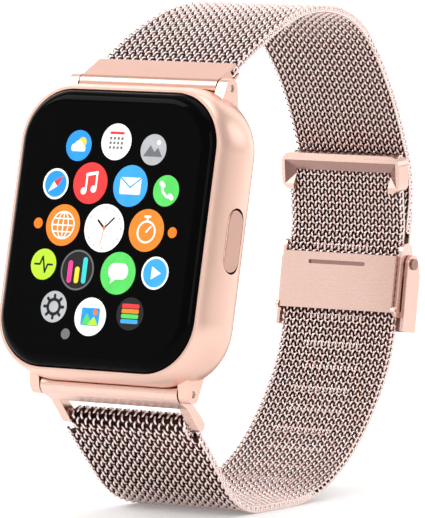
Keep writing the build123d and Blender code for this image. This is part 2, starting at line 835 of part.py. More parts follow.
cover_in = hook_inner + hook_sheet + 0.45
cover_out = cover_in + sheet
snap = (0.35, plate_low - 0.1)
with BuildPart() as clasp_cover:
    for side in (1, -1):
        with BuildSketch(clasp_plane.offset(side * (arm_in + arm_out) / 2)):
            with Locations((pin_u, pin_level)):
                Circle(arm_radius)
            with Locations(((cover_out + 0.1) / 2, cover_low + 0.6)):
                Rectangle(cover_out - 0.1, 1.2)
            with Locations((cover_out - 0.3, cover_high - 1)):
                Rectangle(0.6, 2)
            make_hull()
            with Locations((pin_u, pin_level)):
                Circle(pin_radius + 0.05, mode=Mode.SUBTRACT)
        extrude(amount=wall_thickness / 2, both=True)
        with BuildSketch(clasp_plane.offset(side * arm_in)):
            with Locations(snap):
                Circle(0.45)
        extrude(amount=-side * (arm_gap - 0.05), taper=20)
    with BuildSketch(clasp_plane):
        with Locations(((cover_in + cover_out) / 2, (cover_low + cover_high) / 2)):
            Rectangle(sheet, cover_high - cover_low)
    extrude(amount=(arm_in + arm_out) / 2, both=True)
keep("clasp_cover", clasp_cover)

plate_half = wall_in - 0.08
slot_length = 9.2
slot_height = 0.55
slot_depth = 0.3
with BuildPart() as lock_plate:
    plate_u = -(plate_in + sheet / 2)
    with BuildSketch(clasp_plane):
        with Locations((plate_u, (plate_low + plate_high) / 2)):
            Rectangle(sheet, plate_high - plate_low)
        with Locations((-plate_in + 0.07, plate_high - 2.6)):
            Rectangle(0.16, 0.5)
    extrude(amount=plate_half, both=True)
    clasp_face_plane = Plane(origin=clasp_plane.origin, x_dir=(1, 0, 0), z_dir=-clasp_plane.x_dir)
    with BuildSketch(clasp_face_plane.offset(plate_in + sheet - slot_depth)):
        with Locations((-0.4, plate_high - 1.35)):
            SlotOverall(slot_length, slot_height)
    extrude(amount=sheet, mode=Mode.SUBTRACT)
    with BuildSketch(clasp_plane):
        with Locations(plate_pivot):
            Circle(pivot_radius)
    extrude(amount=wall_middle, both=True)
keep("lock_plate", lock_plate)

# ------------------------------------------------------------------ stand and hand over
leaned = [Rotation(-lean, 0, 0) * piece.part for piece in pieces.values()]
boxes = [part.bounding_box() for part in leaned]
lowest = [min(getattr(box.min, axis) for box in boxes) for axis in "XYZ"]
highest = [max(getattr(box.max, axis) for box in boxes) for axis in "XYZ"]
middle = [(low + high) / 2 for low, high in zip(lowest, highest)]
stand = Location((-middle[0], -middle[1], -lowest[2])) * Rotation(-lean, 0, 0)
for name, piece in pieces.items():
    piece.part.label = name
    export_step(stand * piece.part, f"parts/{name}.step")
print("stand", (-middle[0], -middle[1], -lowest[2]), "size", [b - a for a, b in zip(lowest, highest)])
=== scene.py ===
# %% [markdown]
# # A smartwatch on a woven metal strap
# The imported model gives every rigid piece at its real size. This notebook adds what metal, glass
# and woven wire look like. The watch was drawn upright and then leaned back, so one helper turns
# the drawing's millimetres into the model's metres. Positions are read from the model wherever a
# piece has to meet it.

# %% Load the model
import math

import bmesh
import bpy
import numpy as np
from mathutils import Matrix, Vector


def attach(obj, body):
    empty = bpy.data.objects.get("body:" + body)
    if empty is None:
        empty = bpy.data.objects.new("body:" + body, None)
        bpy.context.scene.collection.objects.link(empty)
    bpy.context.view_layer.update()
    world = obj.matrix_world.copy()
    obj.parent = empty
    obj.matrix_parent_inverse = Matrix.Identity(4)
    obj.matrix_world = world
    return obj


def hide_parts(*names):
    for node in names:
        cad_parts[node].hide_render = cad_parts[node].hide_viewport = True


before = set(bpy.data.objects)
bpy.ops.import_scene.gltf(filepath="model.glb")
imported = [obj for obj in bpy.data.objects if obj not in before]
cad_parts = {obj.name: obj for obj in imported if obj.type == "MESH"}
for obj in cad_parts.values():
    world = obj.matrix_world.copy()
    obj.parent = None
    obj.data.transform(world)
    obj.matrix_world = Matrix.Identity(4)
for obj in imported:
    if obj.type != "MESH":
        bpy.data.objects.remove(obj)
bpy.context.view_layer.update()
SEED = 7
noise = np.random.default_rng(SEED)
print("nodes", len(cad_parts))

# %% [markdown]
# ## From the drawing to the model
# The drawing has X to the button side, Y from the screen backwards and Z up the strap. Leaning the
# watch is one rotation about X. The shift after it is found from the model itself: the glass's
# front face and its middle are known in both, so nothing is typed in twice.

# %% Place a point of the drawing
LEAN = math.radians(12.4)
MM = 0.001
LEAN_BACK = Matrix.Rotation(-LEAN, 3, "X")
GLASS_FRONT = -0.95


def find_shift():
    """The shift that puts the drawing's leaned glass on the model's glass."""
    points = np.array([v.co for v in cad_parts["cover_glass"].data.vertices])
    up = np.array(LEAN_BACK @ Vector((0, 0, 1)))
    back = np.array(LEAN_BACK @ Vector((0, 1, 0)))
    middle = (points @ up).max() / 2 + (points @ up).min() / 2
    front = (points @ back).min() - GLASS_FRONT * MM
    return Vector(up * middle + back * front)


SHIFT = find_shift()


def place(x, y, z):
    """A point of the upright drawing, in millimetres, as a point of the model in metres."""
    return LEAN_BACK @ Vector((x * MM, y * MM, z * MM)) + SHIFT


def place_all(points):
    """The same for an array of points."""
    turn = np.array(LEAN_BACK)
    return (np.asarray(points) * MM) @ turn.T + np.array(SHIFT)


print("shift in mm", [round(v / MM, 3) for v in SHIFT])

# %% [markdown]
# ## Camera
# A long lens from a little above and to the button's side keeps the case nearly free of
# perspective. The direction it looks in and its distance are plain numbers, and it is aimed with
# three unit vectors: right, up and back.

# %% The camera
CAMERA_PLACE = place(473.693, -635.176, -77.232)
LOOK = Vector((-0.58110, 0.80976, -0.08125)).normalized()
SENSOR = 36.0
FOCAL = 526.5

camera = bpy.data.objects.new("camera", bpy.data.cameras.new("camera"))
bpy.context.scene.collection.objects.link(camera)
right = LOOK.cross(Vector((0, 0, 1))).normalized()
lift = right.cross(LOOK)
axes = Matrix((right, lift, -LOOK)).transposed().to_4x4()
camera.matrix_world = Matrix.Translation(CAMERA_PLACE) @ axes
camera.data.sensor_fit = "HORIZONTAL"
camera.data.sensor_width = SENSOR
camera.data.lens = FOCAL
camera.data.clip_start = 0.01
bpy.context.scene.camera = camera
print("camera looks down", round(math.degrees(math.asin(-LOOK.z)), 2), "degrees")

# %% [markdown]
# ## Shader arithmetic
# Writing a material as boxes and wires hides its thought. Here one small class wraps a socket, so
# that `0.3 + 0.1 * grain` adds the Math nodes by itself. Everything that isn't arithmetic comes
# from its one `make` method: the node's type, then its settings, then what goes into its sockets.


# %% One class for sockets
class Flow:
    """A shader socket that can be used in Python arithmetic."""

    def __init__(self, tree, socket=None):
        self.tree = tree
        self.socket = socket

    def make(self, kind, settings=None, inputs=None, out=0):
        node = self.tree.nodes.new("ShaderNode" + kind)
        for key, value in (settings or {}).items():
            if key == "stops":
                ramp = node.color_ramp.elements
                while len(ramp) < len(value):
                    ramp.new(0.5)
                for stop, (at, colour) in zip(ramp, value):
                    stop.position = at
                    stop.color = (*colour, 1)
            else:
                setattr(node, key, value)
        for key, value in (inputs or {}).items():
            if isinstance(value, Flow):
                self.tree.links.new(value.socket, node.inputs[key])
            else:
                node.inputs[key].default_value = value
        return Flow(self.tree, node.outputs[out])

    def math(self, operation, a, b=0.0):
        return self.make("Math", {"operation": operation}, {0: a, 1: b})

    def __add__(self, other):
        return self.math("ADD", self, other)

    __radd__ = __add__

    def __sub__(self, other):
        return self.math("SUBTRACT", self, other)

    def __rsub__(self, other):
        return self.math("SUBTRACT", other, self)

    def __mul__(self, other):
        return self.math("MULTIPLY", self, other)

    __rmul__ = __mul__


# %% [markdown]
# ## One recipe for every finish
# A real surface is never one colour: it has a slow drift of tone, a fine grain that breaks up its
# shine, and a relief that can be felt. The recipe takes those three as noises. `stretch` pulls the
# grain along one axis, which is all that brushing is. What is the same all over goes straight on
# the shader's sockets.


# %% Helpers for finishes
def rgba(colour):
    return (*colour, 1.0)


def start_material(name):
    """A new material with an empty shader tree."""
    material = bpy.data.materials.new(name)
    material.use_nodes = True
    material.node_tree.nodes.clear()
    return material, Flow(material.node_tree)


def end_material(flow, shader):
    """Send a shader to the material's output."""
    output = flow.tree.nodes.new("ShaderNodeOutputMaterial")
    flow.tree.links.new(shader.socket, output.inputs["Surface"])


def grain(flow, size, stretch=(1, 1, 1), detail=3.0):
    """Noise whose lumps are about `size` millimetres across."""
    where = flow.make("TexCoord", out=3)
    scale = tuple(s / (size * MM) for s in stretch)
    scaled = flow.make("Mapping", {}, {"Vector": where, "Scale": scale})
    return flow.make("TexNoise", {}, {"Vector": scaled, "Scale": 1.0, "Detail": detail})


def blend_colours(flow, a, b, factor):
    """A colour between two others."""
    return flow.make("Mix", {"data_type": "RGBA"}, {0: factor, 6: a, 7: b}, out=2)


def smooth(flow, value, low, high):
    """A value eased from 0 at `low` to 1 at `high`."""
    return flow.make(
        "MapRange",
        {"interpolation_type": "SMOOTHSTEP"},
        {"Value": value, "From Min": low, "From Max": high},
    )


def finish_of(
    name, light, dark, rough=0.3, spread=0.1, metallic=0.0, drift=6.0, fine=0.15,
    stretch=(1, 1, 1), relief=0.1, coat=0.0, height=0.02, gloss=0.5,
):
    """A surface with a drifting tone, a fine grain in its shine and a relief."""
    material, flow = start_material(name)
    slow = grain(flow, drift)
    quick = grain(flow, fine, stretch)
    tone = blend_colours(flow, rgba(light), rgba(dark), slow * 0.6 + quick * 0.4)
    bump = flow.make("Bump", {}, {"Height": quick, "Strength": relief, "Distance": height * MM})
    shader = flow.make(
        "BsdfPrincipled",
        {},
        {
            "Base Color": tone,
            "Metallic": metallic,
            "Roughness": rough - spread / 2 + spread * quick,
            "Normal": bump,
            "Coat Weight": coat,
            "Coat Roughness": 0.05,
            "Specular IOR Level": gloss,
        },
    )
    end_material(flow, shader)
    return material


# %% [markdown]
# ## The metals
# Rose gold here is a pink-tinted coat on aluminium or steel. The case is bead blasted, so its
# grain is the same in every direction. The clasp parts are brushed along X, so their grain is long
# in X and very short across. The wire is drawn and polished, with almost no grain at all.

# %% Metal finishes
case_gold = finish_of(
    "case_gold", (0.88, 0.60, 0.50), (0.80, 0.52, 0.43),
    rough=0.34, spread=0.08, metallic=1.0, drift=9.0, fine=0.07, relief=0.12,
)
button_gold = finish_of(
    "button_gold", (0.61, 0.38, 0.31), (0.54, 0.33, 0.27),
    rough=0.26, spread=0.08, metallic=1.0, drift=5.0, fine=0.06, relief=0.1,
)
clasp_gold = finish_of(
    "clasp_gold", (0.86, 0.61, 0.53), (0.77, 0.52, 0.44),
    rough=0.27, spread=0.14, metallic=1.0, drift=7.0, fine=0.05, stretch=(0.02, 1, 1),
    relief=0.14,
)
link_gold = finish_of(
    "link_gold", (0.76, 0.47, 0.385), (0.68, 0.41, 0.335),
    rough=0.30, spread=0.12, metallic=1.0, drift=5.0, fine=0.05, stretch=(0.02, 1, 1),
    relief=0.12,
)
# painted light: the slider's wall gets a lighter gold than the clasp, and is brushed along Z
wall_gold_painted_lighter = finish_of(
    "wall_gold_painted_lighter", (0.90, 0.66, 0.59), (0.78, 0.54, 0.47),
    rough=0.24, spread=0.12, metallic=1.0, drift=4.0, fine=0.05, stretch=(1, 1, 0.05),
    relief=0.12,
)
# the hinge pin's darker gold, used further on as painted shade in recesses too
rivet_gold_and_painted_shade = finish_of(
    "rivet_gold_and_painted_shade", (0.40, 0.245, 0.21), (0.30, 0.18, 0.155),
    rough=0.22, spread=0.1, metallic=1.0, drift=1.0, fine=0.05, relief=0.1,
)
bar_steel = finish_of(
    "bar_steel", (0.78, 0.76, 0.74), (0.66, 0.64, 0.62),
    rough=0.25, spread=0.1, metallic=1.0, drift=3.0, fine=0.08, relief=0.1,
)
plain_steel = finish_of(
    "plain_steel", (0.62, 0.61, 0.60), (0.5, 0.49, 0.48),
    rough=0.32, spread=0.12, metallic=1.0, drift=3.0, fine=0.1, relief=0.15,
)
contact_gold = finish_of(
    "contact_gold", (0.92, 0.70, 0.32), (0.80, 0.58, 0.24),
    rough=0.2, spread=0.08, metallic=1.0, drift=1.0, fine=0.08,
)
tray_metal = finish_of(
    "tray_metal", (0.72, 0.73, 0.75), (0.62, 0.63, 0.65),
    rough=0.36, spread=0.1, metallic=1.0, drift=6.0, fine=0.08, stretch=(1, 1, 0.05),
)
cell_foil = finish_of(
    "cell_foil", (0.60, 0.61, 0.63), (0.48, 0.49, 0.51),
    rough=0.4, spread=0.16, metallic=0.8, drift=4.0, fine=0.5, relief=0.25,
)
print("metals made")

# %% [markdown]
# ## Glass, rubber, boards and plastics
# The front glass is black behind and hardly reflects, as coated glass does, so the picture on it
# stays clear. Ceramic is the same idea with a softer gloss. A circuit board is green lacquer over
# copper lines, which a stretched grid of noise suggests at this size.

# %% Other finishes
front_glass = finish_of(
    "front_glass", (0.002, 0.002, 0.002), (0.001, 0.001, 0.001),
    rough=0.035, spread=0.03, metallic=0.0, drift=12.0, fine=2.0, relief=0.0, gloss=0.03,
)
sensor_glass = finish_of(
    "sensor_glass", (0.03, 0.02, 0.025), (0.012, 0.008, 0.01),
    rough=0.05, spread=0.04, metallic=0.0, drift=3.0, fine=0.6, relief=0.0, coat=1.0,
)
panel_glass = finish_of(
    "panel_glass", (0.01, 0.01, 0.014), (0.004, 0.004, 0.006),
    rough=0.08, spread=0.05, metallic=0.0, drift=5.0, fine=0.3, relief=0.02,
)
back_ceramic = finish_of(
    "back_ceramic", (0.05, 0.05, 0.055), (0.03, 0.03, 0.034),
    rough=0.14, spread=0.06, metallic=0.0, drift=5.0, fine=0.2, relief=0.04, coat=0.6,
)
black_rubber = finish_of(
    "black_rubber", (0.03, 0.03, 0.03), (0.016, 0.016, 0.016),
    rough=0.75, spread=0.15, metallic=0.0, drift=2.0, fine=0.08, relief=0.4,
)
frame_plastic = finish_of(
    "frame_plastic", (0.055, 0.055, 0.06), (0.035, 0.035, 0.04),
    rough=0.6, spread=0.14, metallic=0.0, drift=4.0, fine=0.08, relief=0.3,
)
chip_resin = finish_of(
    "chip_resin", (0.04, 0.04, 0.045), (0.02, 0.02, 0.024),
    rough=0.55, spread=0.12, metallic=0.0, drift=2.0, fine=0.05, relief=0.3,
)
board_lacquer = finish_of(
    "board_lacquer", (0.02, 0.16, 0.07), (0.01, 0.07, 0.04),
    rough=0.38, spread=0.2, metallic=0.0, drift=1.2, fine=0.25, stretch=(1, 1, 0.1), relief=0.3,
    coat=0.3,
)
flex_film = finish_of(
    "flex_film", (0.60, 0.32, 0.07), (0.45, 0.22, 0.04),
    rough=0.35, spread=0.1, metallic=0.0, drift=1.0, fine=0.15, stretch=(1, 1, 0.05), relief=0.2,
)

# %% [markdown]
# Drawn wire is polished and bright on the strap's face. Down in the weave, where light hardly
# reaches, it gets painted shade, near black. Each point of the fabric knows its level, from 0 in
# the middle of the strap to 1 on its face, and the finish turns that into this painted shade.

# %% The wire's finish
WIRE_BRIGHT = (1.0, 0.87, 0.84)
WIRE_ROSE = (0.93, 0.70, 0.65)
WIRE_PAINTED_SHADE = (0.05, 0.022, 0.02)


def wire_finish():
    """Polished wire, with painted shade inside the weave."""
    material, flow = start_material("wire_gold")
    level = flow.make("Attribute", {"attribute_name": "level"}, out=2)
    unshaded = smooth(flow, level, 0.28, 0.64)
    slow = grain(flow, 3.0)
    fine = grain(flow, 0.12)
    face = blend_colours(flow, rgba(WIRE_BRIGHT), rgba(WIRE_ROSE), slow)
    # painted shade: the wire turns near black deep in the weave and stays bright on the face
    tone = blend_colours(flow, rgba(WIRE_PAINTED_SHADE), face, unshaded)
    bump = flow.make("Bump", {}, {"Height": fine, "Strength": 0.08, "Distance": 0.01 * MM})
    shader = flow.make(
        "BsdfPrincipled",
        {},
        {
            "Base Color": tone,
            "Metallic": 1.0,
            "Roughness": 0.42 - 0.2 * unshaded + 0.06 * fine,
            "Normal": bump,
        },
    )
    end_material(flow, shader)
    return material


wire_gold = wire_finish()

# %% Give every carried-over piece its finish
TAIL_HEADING = 106.0
CLASP_HEADING = 93.0
BUTTON_Y = 4.85
POCKET_FLOOR = 15.19
POCKET_HALF = (2.0, 4.4)
FINISHES = {
    case_gold: ["case_body"],
    button_gold: ["side_button"],
    link_gold: ["upper_end_link"],
    clasp_gold: ["lower_frame", "hook_plate", "tail_clip", "clasp_cover", "lock_plate"],
    wall_gold_painted_lighter: ["slider_body"],
    rivet_gold_and_painted_shade: ["hinge_pin"],
    wire_gold: ["upper_mesh", "lower_mesh"],
    bar_steel: ["upper_bar_tube", "upper_bar_pins", "lower_bar_tube", "lower_bar_pins"],
    plain_steel: ["back_screws", "button_clip", "vibration_motor"],
    contact_gold: ["charging_contacts"],
    tray_metal: ["display_tray"],
    cell_foil: ["battery"],
    front_glass: ["cover_glass"],
    sensor_glass: ["sensor_window"],
    panel_glass: ["display_panel"],
    back_ceramic: ["back_cover"],
    black_rubber: ["button_seal", "glass_gasket"],
    frame_plastic: ["inner_frame"],
    chip_resin: ["board_chips", "tact_switch"],
    board_lacquer: ["main_board", "sensor_board"],
    flex_film: ["display_flex"],
}
for material, names in FINISHES.items():
    for name in names:
        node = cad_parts[name]
        node.data.materials.clear()
        node.data.materials.append(material)


def facing(heading):
    """The inner side of the strap at a heading in degrees, as a direction of the model."""
    a = math.radians(heading)
    return LEAN_BACK @ Vector((0, -math.sin(a), math.cos(a)))


# the tray's sloped lips, the floor of the plate's slot and the button's pocket are painted with the
# rivet's darker gold, as painted shade in these recesses
clip_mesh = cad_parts["tail_clip"].data
clip_mesh.materials.append(rivet_gold_and_painted_shade)
lips = [face for face in clip_mesh.polygons if 0.35 < face.normal @ facing(TAIL_HEADING) < 0.93]
plate_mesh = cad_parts["lock_plate"].data
plate_mesh.materials.append(rivet_gold_and_painted_shade)
outward = facing(CLASP_HEADING)
front_level = max(face.center @ outward for face in plate_mesh.polygons)
slot_floor = [
    face for face in plate_mesh.polygons
    if face.normal @ outward > 0.9 and 0.1 * MM < front_level - face.center @ outward < 0.4 * MM
]
case_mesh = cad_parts["case_body"].data
case_mesh.materials.append(rivet_gold_and_painted_shade)
pocket = []
for face in case_mesh.polygons:
    x, y, z = (LEAN_BACK.transposed() @ (face.center - SHIFT)) / MM
    outer = face.normal.x > 0.9 and x > POCKET_FLOOR + 0.5
    inside = abs(y - BUTTON_Y) < POCKET_HALF[0] and abs(z) < POCKET_HALF[1]
    if x > POCKET_FLOOR - 0.1 and inside and not outer:
        pocket.append(face)
for face in lips + slot_floor + pocket:
    face.material_index = 1
print("button pocket faces", len(pocket))
print("slot floor faces", len(slot_floor))
print("sloped lip faces", len(lips))
print("finished nodes", sum(len(names) for names in FINISHES.values()), "of", len(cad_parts))

# %% [markdown]
# ## The line of the strap
# The strap is drawn in side view as arcs that meet without a corner. Two tangent arcs, a biarc,
# join any two points with given directions. The same knots shape the solid bands in the model, and
# the woven wire follows the same line, so it fills exactly their place.


# %% Arcs in side view
def step(point, heading, forward, left=0.0):
    """The point reached by going forward and to the left of a heading in degrees."""
    a = math.radians(heading)
    return (
        point[0] + forward * math.cos(a) - left * math.sin(a),
        point[1] + forward * math.sin(a) + left * math.cos(a),
    )


def biarc(start, heading, end, end_heading):
    """Two tangent arcs between two headed points, each as (length, turn in degrees)."""
    t0 = np.array([math.cos(math.radians(heading)), math.sin(math.radians(heading))])
    t1 = np.array([math.cos(math.radians(end_heading)), math.sin(math.radians(end_heading))])
    v = np.array(end) - np.array(start)
    vt = v @ (t0 + t1)
    k = 2 * (1 - t0 @ t1)
    d = (v @ v) / (2 * vt) if k < 1e-6 else (math.sqrt(vt**2 + k * (v @ v)) - vt) / k
    middle = (np.array(start) + np.array(end) + d * (t0 - t1)) / 2
    runs = []
    for a, b, tangent, sign in ((start, middle, heading, 1), (middle, end, end_heading, -1)):
        chord = math.dist(a, b)
        direct = math.degrees(math.atan2(b[1] - a[1], b[0] - a[0]))
        half = sign * ((direct - tangent + 180) % 360 - 180)
        bend = math.radians(abs(half))
        runs.append((chord * (bend / math.sin(bend) if bend > 1e-6 else 1), 2 * half))
    return runs


def through(knots):
    """The arcs of the smooth line through headed points."""
    runs = []
    for a, b in zip(knots, knots[1:]):
        runs += biarc(a[:2], a[2], b[:2], b[2])
    return runs


def walk(start, heading, runs, travel):
    """The point and heading after travelling a distance along the arcs."""
    point = start
    for length, turn in runs[:-1]:
        if travel <= length:
            break
        point, heading = advance(point, heading, length, turn, length)
        travel -= length
    else:
        length, turn = runs[-1]
    return advance(point, heading, length, turn, travel)


def advance(point, heading, length, turn, travel):
    """Part of one arc."""
    angle = turn * travel / length
    half = math.radians(angle / 2)
    chord = travel if abs(angle) < 1e-6 else travel * math.sin(half) / half
    return step(point, heading + angle / 2, chord), heading + angle


# %% The two straps' lines, in millimetres
MESH_THICKNESS = 1.1
STRAP_WIDTH = 21.8
STRAP_NARROW = 18.2
TAPER_START = 14.0
TAPER_END = 46.0
UPPER_BAR = (5.8, 19.8)
LOWER_BAR = (5.8, -19.8)
CLASP = (54.35, 0.0)

LINK_HEADING = 45.0
LINK_END = 4.3
LINK_GRIP = 1.5
LOOP_TOP = (32.0, 34.6, 0.0)
LOOP_SHOULDER = (48.9, 24.4, -52.0)
HOOK_STRAIGHT = 3.5

upper_start = step(UPPER_BAR, LINK_HEADING, LINK_END - LINK_GRIP)
upper_station = step(CLASP, CLASP_HEADING, 12.0, -(MESH_THICKNESS + 0.2))
upper_knots = [
    (*step(UPPER_BAR, LINK_HEADING, LINK_END), LINK_HEADING),
    LOOP_TOP,
    LOOP_SHOULDER,
    (*upper_station, CLASP_HEADING - 180),
]
upper_runs = [(LINK_GRIP, 0)] + through(upper_knots) + [(HOOK_STRAIGHT, 0)]

FRAME_HEADING = -35.0
FOLD_MIDDLE = 1.05
FOLD_TURN = 197.0
fold_bar = step(LOWER_BAR, FRAME_HEADING, 6.0)
lower_start = step(fold_bar, FRAME_HEADING, 0, -FOLD_MIDDLE)
FOLD_PLY = 4.4
FOOT = (31.4, -31.2)
FOOT_HEADING = 12.4
FOOT_LENGTH = 8.0
HEEL = (49.7, -20.0, 58.0)
CLASP_LOW, CLASP_HIGH = -4.5, 8.0
TAIL = (51.25, 18.0)
TAIL_STRAIGHT = 4.9

foot_begin, foot_end = (step(FOOT, FOOT_HEADING, way * FOOT_LENGTH / 2) for way in (-1, 1))
clasp_begin, clasp_end = (step(CLASP, CLASP_HEADING, at) for at in (CLASP_LOW, CLASP_HIGH))
tail_bend = step(TAIL, TAIL_HEADING, -TAIL_STRAIGHT)
lower_runs = (
    through([(*lower_start, FRAME_HEADING), (*foot_begin, FOOT_HEADING)])
    + [(FOOT_LENGTH, 0)]
    + through([(*foot_end, FOOT_HEADING), HEEL, (*clasp_begin, CLASP_HEADING)])
    + [(CLASP_HIGH - CLASP_LOW, 0)]
    + through([(*clasp_end, CLASP_HEADING), (*tail_bend, TAIL_HEADING)])
    + [(TAIL_STRAIGHT, 0)]
)
fold_runs = [(FOLD_PLY, 0), (FOLD_MIDDLE * math.radians(FOLD_TURN), FOLD_TURN)]
fold_heading = FRAME_HEADING - FOLD_TURN
fold_length = sum(length for length, turn in fold_runs)
fold_start = step(fold_bar, fold_heading, -FOLD_PLY, -FOLD_MIDDLE)
upper_length = sum(length for length, turn in upper_runs)
lower_length = sum(length for length, turn in lower_runs)
print("upper strap", round(upper_length, 1), "mm, lower strap", round(lower_length, 1), "mm")

# %% [markdown]
# ## Woven wire
# This kind of strap is a chain link fabric: one flattened spiral of wire for each row, screwed
# into the row before it. The rows lie across the strap, which is why it bends so well. They wind
# left and right in turn, so the strands on the face make a zigzag. A flat band with a bump map
# would show straight edges and no holes, so every spiral is made as a real tube, by numpy, a whole
# row at a time.

# %% The wire's sizes, in millimetres
WIRE = 0.335
TURN_PITCH = (1.31, 1.15)
ROW_PITCH = (0.66, 0.475)
RISE = (MESH_THICKNESS - WIRE) / 2
STEPS = 10
SIDES = 5
HOOK = 0.46
SHADE_RIBBON_HALF = 0.12
HEM = 0.35
EDGE_UNSHADED = 0.6
EDGE_LEVEL = 0.9


def tapered(wide, narrow, y):
    """A size that shrinks as the strap gets narrower, at a depth y."""
    share = min(max((y - TAPER_START) / (TAPER_END - TAPER_START), 0), 1)
    return wide + (narrow - wide) * share


def strap_half(y):
    """Half the strap's width at a depth y."""
    return tapered(STRAP_WIDTH, STRAP_NARROW, y) / 2


# %% One row of the weave
def frame_at(heading):
    """The two directions of a row: along the strap and out of its face."""
    a = math.radians(heading)
    return np.array([0, math.cos(a), math.sin(a)]), np.array([0, -math.sin(a), math.cos(a)])


def spiral(centre, heading, begin, end, odd):
    """One flattened spiral across the strap, as the points and rings of its tube."""
    pitch = tapered(*TURN_PITCH, centre[0])
    reach = (tapered(*ROW_PITCH, centre[0]) / 2 + 0.45 * WIRE) * (1 + noise.normal(0, 0.012))
    turns = int((end - begin) / pitch) + 1
    theta = np.linspace(0, 2 * np.pi * turns, turns * STEPS + 1)
    across = (theta + HOOK * np.sin(2 * theta)) / (2 * np.pi)
    x = begin + WIRE / 2 + pitch * (across - 0.25 + odd / 2)
    x = np.clip(x, begin + WIRE / 2, end - WIRE / 2) + noise.normal(0, 0.006, len(x))
    forward, left = frame_at(heading)
    forward = forward if odd else -forward
    middle = np.array([0, centre[0], centre[1]])
    points = np.outer(x, [1, 0, 0]) + middle
    points += np.outer(-reach * np.cos(theta), forward) + np.outer(RISE * np.sin(theta), left)
    radial = np.outer(-np.cos(theta) * RISE, forward) + np.outer(np.sin(theta) * reach, left)
    radial /= np.linalg.norm(radial, axis=1)[:, None]
    tangent = np.gradient(points, axis=0)
    tangent /= np.linalg.norm(tangent, axis=1)[:, None]
    side = np.cross(tangent, radial)
    side /= np.linalg.norm(side, axis=1)[:, None]
    phi = np.arange(SIDES) * 2 * np.pi / SIDES
    rings = points[:, None] + WIRE / 2 * (
        np.cos(phi)[None, :, None] * radial[:, None] + np.sin(phi)[None, :, None] * side[:, None]
    )
    level = np.abs((rings - middle) @ left) / (MESH_THICKNESS / 2)
    # the turns along the strap's edge are left out of the painted shade and stay as bright as its
    # face
    to_edge = np.minimum(rings[..., 0] - begin, end - rings[..., 0])
    return rings, np.where(to_edge < EDGE_UNSHADED * WIRE, EDGE_LEVEL, level)


def shade_ribbon(places, half):
    """A thin dark ribbon through the middle of the fabric, where the spirals cross: painted shade
    that shows through the gaps of the weave.
    """
    rings = []
    for (centre, heading), reach in zip(places, half):
        forward, left = frame_at(heading)
        middle = np.array([0, centre[0], centre[1]])
        corners = [(-reach, -SHADE_RIBBON_HALF), (reach, -SHADE_RIBBON_HALF), (reach, SHADE_RIBBON_HALF), (-reach, SHADE_RIBBON_HALF)]
        rings.append([middle + np.array([x, 0, 0]) + out * left for x, out in corners])
    rings = np.array(rings)
    return rings, np.zeros(rings.shape[:2])


def tube_faces(count, sides, first):
    """The quads between the rings of one tube."""
    ring = np.arange(count - 1)[:, None] * sides
    around = np.arange(sides)[None, :]
    after = (around + 1) % sides
    quads = [ring + around, ring + after, ring + sides + after, ring + sides + around]
    return np.stack(quads, axis=-1).reshape(-1, 4) + first


# %% A stretch of fabric from many rows
def fabric(name, rows, material, body):
    """One object from a list of tubes."""
    places, levels, faces, total = [], [], [], 0
    for rings, level in rows:
        places.append(rings.reshape(-1, 3))
        levels.append(level.ravel())
        faces.append(tube_faces(rings.shape[0], rings.shape[1], total))
        total += rings.shape[0] * rings.shape[1]
    mesh = bpy.data.meshes.new(name)
    places = place_all(np.concatenate(places))
    faces = np.concatenate(faces)
    mesh.vertices.add(len(places))
    mesh.vertices.foreach_set("co", places.ravel())
    mesh.loops.add(faces.size)
    mesh.loops.foreach_set("vertex_index", faces.ravel())
    mesh.polygons.add(len(faces))
    mesh.polygons.foreach_set("loop_start", np.arange(len(faces)) * 4)
    mesh.polygons.foreach_set("use_smooth", np.ones(len(faces), bool))
    mesh.update(calc_edges=True)
    mesh.attributes.new("level", "FLOAT", "POINT").data.foreach_set("value", np.concatenate(levels))
    mesh.materials.append(material)
    piece = bpy.data.objects.new(name, mesh)
    bpy.context.scene.collection.objects.link(piece)
    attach(piece, body)
    print(name, len(rows) - 1, "rows", 2 * len(faces), "triangles")
    return piece


def weave(name, line, begin, end, width, body, grooves=(), parts=1):
    """Fabric along a line, in parts; a groove row carries a second spiral in its middle half."""
    travel, places = begin, []
    while travel < end:
        centre, heading = walk(*line, travel)
        pitch = tapered(*ROW_PITCH, centre[0])
        places.append((travel + pitch / 2, *walk(*line, travel + pitch / 2), pitch))
        travel += pitch
    pieces = []
    for part in range(parts):
        first, last = (len(places) * k // parts for k in (part, part + 1))
        rows = []
        for i in range(first, last):
            travel, centre, heading, pitch = places[i]
            half = width(travel, centre[0])
            rows.append(spiral(centre, heading, -half, half, i % 2))
            if any(abs(travel - groove) < pitch / 2 for groove in grooves):
                rows.append(spiral(centre, heading, -half / 2, half / 2, 1 - i % 2))
        stretch = places[first:last + 1]
        middles = [(centre, heading) for travel, centre, heading, pitch in stretch]
        halves = [width(travel, centre[0]) - HEM for travel, centre, heading, pitch in stretch]
        # a dark ribbon of painted shade runs through the middle of each part
        rows.append(shade_ribbon(middles, halves))
        pieces.append(fabric(name + "_" + str(part + 1), rows, wire_gold, body))
    return pieces


# %% Weave the upper strap
upper_line = (upper_start, LINK_HEADING, upper_runs)
upper_weave = weave(
    "upper_weave", upper_line, 0.2, upper_length - 0.2,
    lambda travel, y: strap_half(y), "upper_strap", parts=2,
)
for piece in upper_weave:
    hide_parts("upper_mesh")

# %% [markdown]
# The lower strap starts with a fold round the bar of its frame, where it is narrower to pass
# between the frame's arms. On its inner face, near the clasp, a row every few millimetres carries a
# second spiral in its middle half: the grooves that the clasp's tongue can lock into.

